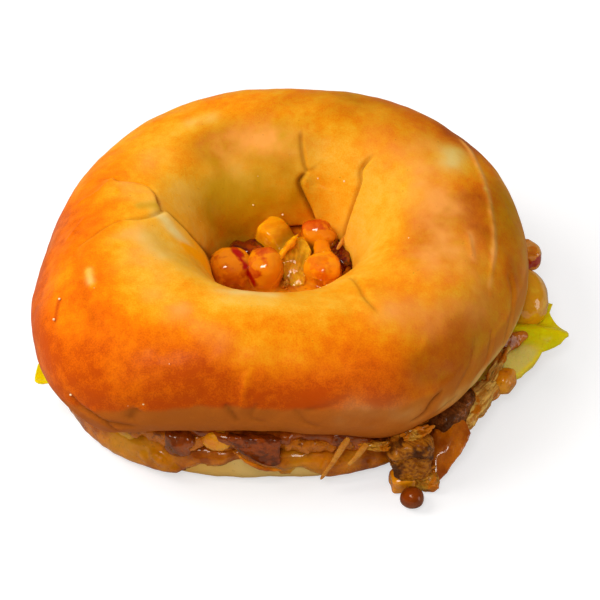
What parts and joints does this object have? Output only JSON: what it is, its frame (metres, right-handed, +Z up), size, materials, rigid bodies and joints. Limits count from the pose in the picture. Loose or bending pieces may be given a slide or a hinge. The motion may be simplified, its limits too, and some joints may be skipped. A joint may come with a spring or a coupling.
{
  "type": "filled bagel",
  "caption": "Filled bagel: a glossy folded crown with an open centre on a flat heel, with lettuce, chicken, sauce and diced vegetables between them.",
  "frame": {"origin": "middle of the bounding box at the bottom, where the heel rests", "axes": "+Z up through the ring, +X along the longest side, towards the side where the lettuce sticks out"},
  "size_m": [0.1227, 0.1099, 0.0444],
  "materials": {
    "crust": "baked golden-brown crust with a soft shine",
    "heel_bread": "cut bread, matt",
    "lettuce": "yellow-green leaf, moist",
    "chicken": "cooked chicken",
    "grilled_meat": "browned, shiny with fat",
    "sauce": "orange sauce, wet",
    "tomato": "sauced, wet",
    "yellow_tomato": "sauced, wet",
    "celery": "moist",
    "onion": "translucent, moist",
    "pepper": "sauced, wet",
    "cheese": "melted, satin"
  },
  "bodies": {
    "root": {"crown": "crust", "heel": "heel_bread", "lettuce_leaf": "lettuce", "chicken_layer": "chicken", "sauce_layer": "sauce", "tomato_dice_1": "tomato", "tomato_dice_2": "tomato", "celery_dice": "celery", "onion_slice": "onion", "pepper_dice_1": "pepper", "pepper_dice_2": "pepper", "bacon_piece": "grilled_meat", "tomato_dice_3": "tomato", "tomato_dice_4": "tomato", "yellow_tomato": "yellow_tomato", "sauce_blob": "sauce", "chicken_strip": "chicken", "grilled_strip": "grilled_meat", "sauce_drape": "sauce", "chicken_chunk": "chicken", "carrot_cube": "pepper", "chicken_crumb": "chicken", "sauce_drop": "sauce", "grilled_piece": "grilled_meat", "grilled_crumb": "grilled_meat", "sauce_lump": "sauce", "cheese_strand_1": "cheese", "cheese_strand_2": "cheese", "onion_bit": "onion", "tomato_dice_5": "tomato", "chicken_left": "chicken", "chicken_back": "chicken", "grilled_back": "grilled_meat", "pepper_dice_3": "pepper"}
  },
  "joints": []
}
